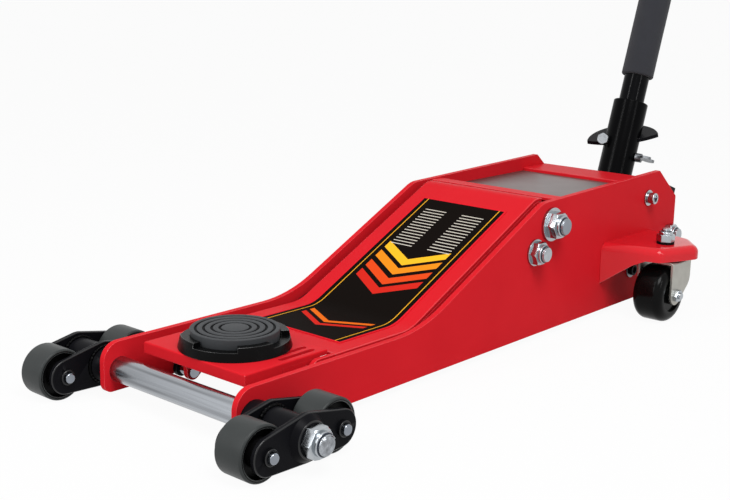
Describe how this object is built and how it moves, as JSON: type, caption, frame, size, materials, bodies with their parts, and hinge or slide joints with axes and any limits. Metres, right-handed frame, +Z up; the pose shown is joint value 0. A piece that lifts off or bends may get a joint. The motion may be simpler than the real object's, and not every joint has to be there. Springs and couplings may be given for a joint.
{
  "type": "trolley jack",
  "caption": "Low trolley jack: wheeled red frame, hydraulic lift arm with a saddle that stays level, swivel casters, and a pumping handle with a foot pedal.",
  "frame": {"origin": "on the floor, under the middle of the jack's overall length and width", "axes": "+X forward to the saddle end, +Y to the left, +Z up"},
  "size_m": [1.0452, 0.3688, 0.7458],
  "materials": {
    "red_paint": "gloss red paint",
    "black_paint": "satin black",
    "zinc_steel": "zinc plated",
    "bright_steel": "ground bright",
    "cast_iron": "black satin casting",
    "roller_plastic": "charcoal",
    "caster_plastic": "black",
    "pad_rubber": "matt",
    "grip_foam": "matt foam",
    "tray_steel": "brushed",
    "label_film": "printed film",
    "spring_steel": "oiled wire",
    "plug_plastic": "moulded"
  },
  "bodies": {
    "frame": {"front_axle": "bright_steel", "main_pivot_shaft": "bright_steel", "frame_bolts": "zinc_steel", "frame_lock_nuts": "zinc_steel", "frame_washers": "zinc_steel", "front_cross_bar": "red_paint", "tray_panel": "tray_steel", "rear_ledge": "red_paint", "caster_kingpins": "zinc_steel", "pump_block": "black_paint", "reservoir_tube": "black_paint", "cylinder_tube": "bright_steel", "cylinder_cap": "zinc_steel", "pump_fittings": "zinc_steel", "side_plate_left": "red_paint", "side_plate_right": "red_paint", "outrigger_left": "red_paint", "outrigger_right": "red_paint", "return_springs": "spring_steel", "plunger_spring": "spring_steel"},
    "lift_arm": {"lift_arm_cover": "red_paint", "lift_arm_walls": "red_paint", "lift_arm_lever": "black_paint", "lug_pin": "bright_steel", "label_panel": "label_film"},
    "saddle_bracket": {"saddle_bracket_plate": "red_paint", "saddle_bracket_ears": "red_paint", "bracket_pins": "bright_steel"},
    "saddle": {"saddle_cup": "cast_iron", "saddle_pad": "pad_rubber"},
    "levelling_links": {"levelling_links": "black_paint"},
    "ram": {"ram": "bright_steel", "piston_seal": "pad_rubber", "crosshead": "cast_iron"},
    "plunger": {"plunger": "bright_steel"},
    "release_stem": {"release_stem": "bright_steel"},
    "handle_yoke": {"yoke_arms": "black_paint", "handle_socket": "black_paint", "retaining_bolt": "zinc_steel", "foot_pedal": "black_paint"},
    "handle": {"handle_tube": "black_paint", "foam_sleeve": "grip_foam", "end_plug": "plug_plastic"},
    "pump_roller": {"pump_roller": "bright_steel"},
    "wing_screw": {"wing_screw": "zinc_steel"},
    "bogie_left": {"bogie_left": "black_paint", "roller_pins_left": "bright_steel"},
    "roller_left_front": {"roller_left_front": "roller_plastic"},
    "roller_left_rear": {"roller_left_rear": "roller_plastic"},
    "caster_left": {"caster_fork_left": "zinc_steel", "caster_axle_left": "zinc_steel"},
    "caster_wheel_left": {"caster_wheel_left": "caster_plastic"},
    "bogie_right": {"bogie_right": "black_paint", "roller_pins_right": "bright_steel"},
    "roller_right_front": {"roller_right_front": "roller_plastic"},
    "roller_right_rear": {"roller_right_rear": "roller_plastic"},
    "caster_right": {"caster_fork_right": "zinc_steel", "caster_axle_right": "zinc_steel"},
    "caster_wheel_right": {"caster_wheel_right": "caster_plastic"}
  },
  "joints": [
    {"name": "arm_lift", "type": "hinge", "parent": "frame", "child": "lift_arm", "pos_m": [0.00084, 0, 0.1317], "axis": [0, -1, 0], "range_deg": [0, 60]},
    {"name": "bracket_level", "type": "hinge", "parent": "lift_arm", "child": "saddle_bracket", "pos_m": [0.35484, 0, 0.042], "axis": [0, -1, 0], "range_deg": [-60, 0]},
    {"name": "link_swing", "type": "hinge", "parent": "frame", "child": "levelling_links", "pos_m": [0.03084, 0, 0.1043], "axis": [0, -1, 0], "range_deg": [0, 60]},
    {"name": "ram_slide", "type": "slide", "parent": "frame", "child": "ram", "axis": [1, 0, 0], "range_m": [0, 0.0751], "deforming": ["return_springs"]},
    {"name": "saddle_spin", "type": "hinge", "parent": "saddle_bracket", "child": "saddle", "pos_m": [0.38824, 0, 0.06], "axis": [0, 0, 1], "continuous": true},
    {"name": "handle_pump", "type": "hinge", "parent": "frame", "child": "handle_yoke", "pos_m": [-0.27916, 0, 0.079], "axis": [0, -1, 0], "range_deg": [-5, 55]},
    {"name": "plunger_slide", "type": "slide", "parent": "frame", "child": "plunger", "axis": [1, 0, 0], "range_m": [-0.0024, 0.0242], "deforming": ["plunger_spring"]},
    {"name": "handle_twist", "type": "hinge", "parent": "handle_yoke", "child": "handle", "pos_m": [-0.27916, 0, 0.079], "axis": [-0.3256, 0, 0.9455], "range_deg": [0, 180]},
    {"name": "release_turn", "type": "hinge", "parent": "frame", "child": "release_stem", "pos_m": [-0.27916, 0, 0.079], "axis": [-0.6691, 0, 0.7431], "range_deg": [0, 180]},
    {"name": "pump_roller_spin", "type": "hinge", "parent": "handle_yoke", "child": "pump_roller", "pos_m": [-0.29055, 0.039, 0.05563], "axis": [0, 1, 0], "continuous": true},
    {"name": "wing_screw_turn", "type": "hinge", "parent": "handle_yoke", "child": "wing_screw", "pos_m": [-0.30976, 0, 0.16788], "axis": [-0.2287, 0.9703, -0.0788], "continuous": true},
    {"name": "bogie_rock_left", "type": "hinge", "parent": "frame", "child": "bogie_left", "pos_m": [0.45484, 0.137, 0.0284], "axis": [0, 1, 0], "range_deg": [-12, 12]},
    {"name": "roller_left_front_spin", "type": "hinge", "parent": "bogie_left", "child": "roller_left_front", "pos_m": [0.49784, 0.137, 0.025], "axis": [0, 1, 0], "continuous": true},
    {"name": "roller_left_rear_spin", "type": "hinge", "parent": "bogie_left", "child": "roller_left_rear", "pos_m": [0.41184, 0.137, 0.025], "axis": [0, 1, 0], "continuous": true},
    {"name": "caster_swivel_left", "type": "hinge", "parent": "frame", "child": "caster_left", "pos_m": [-0.16716, 0.1501, 0.08], "axis": [0, 0, 1], "continuous": true},
    {"name": "caster_wheel_spin_left", "type": "hinge", "parent": "caster_left", "child": "caster_wheel_left", "pos_m": [-0.15816, 0.1501, 0.034], "axis": [0, 1, 0], "continuous": true},
    {"name": "bogie_rock_right", "type": "hinge", "parent": "frame", "child": "bogie_right", "pos_m": [0.45484, -0.137, 0.0284], "axis": [0, 1, 0], "range_deg": [-12, 12]},
    {"name": "roller_right_front_spin", "type": "hinge", "parent": "bogie_right", "child": "roller_right_front", "pos_m": [0.49784, -0.137, 0.025], "axis": [0, 1, 0], "continuous": true},
    {"name": "roller_right_rear_spin", "type": "hinge", "parent": "bogie_right", "child": "roller_right_rear", "pos_m": [0.41184, -0.137, 0.025], "axis": [0, 1, 0], "continuous": true},
    {"name": "caster_swivel_right", "type": "hinge", "parent": "frame", "child": "caster_right", "pos_m": [-0.16716, -0.1501, 0.08], "axis": [0, 0, 1], "continuous": true},
    {"name": "caster_wheel_spin_right", "type": "hinge", "parent": "caster_right", "child": "caster_wheel_right", "pos_m": [-0.15816, -0.1501, 0.034], "axis": [0, 1, 0], "continuous": true}
  ],
  "couplings": [
    {"joint": "bracket_level", "follows": "arm_lift", "ratio": -1},
    {"joint": "link_swing", "follows": "arm_lift", "ratio": 1},
    {"joint": "ram_slide", "follows": "arm_lift", "m_per_rad": 0.07162},
    {"joint": "plunger_slide", "follows": "handle_pump", "m_per_rad": 0.025},
    {"joint": "release_turn", "follows": "handle_twist", "ratio": 1}
  ]
}
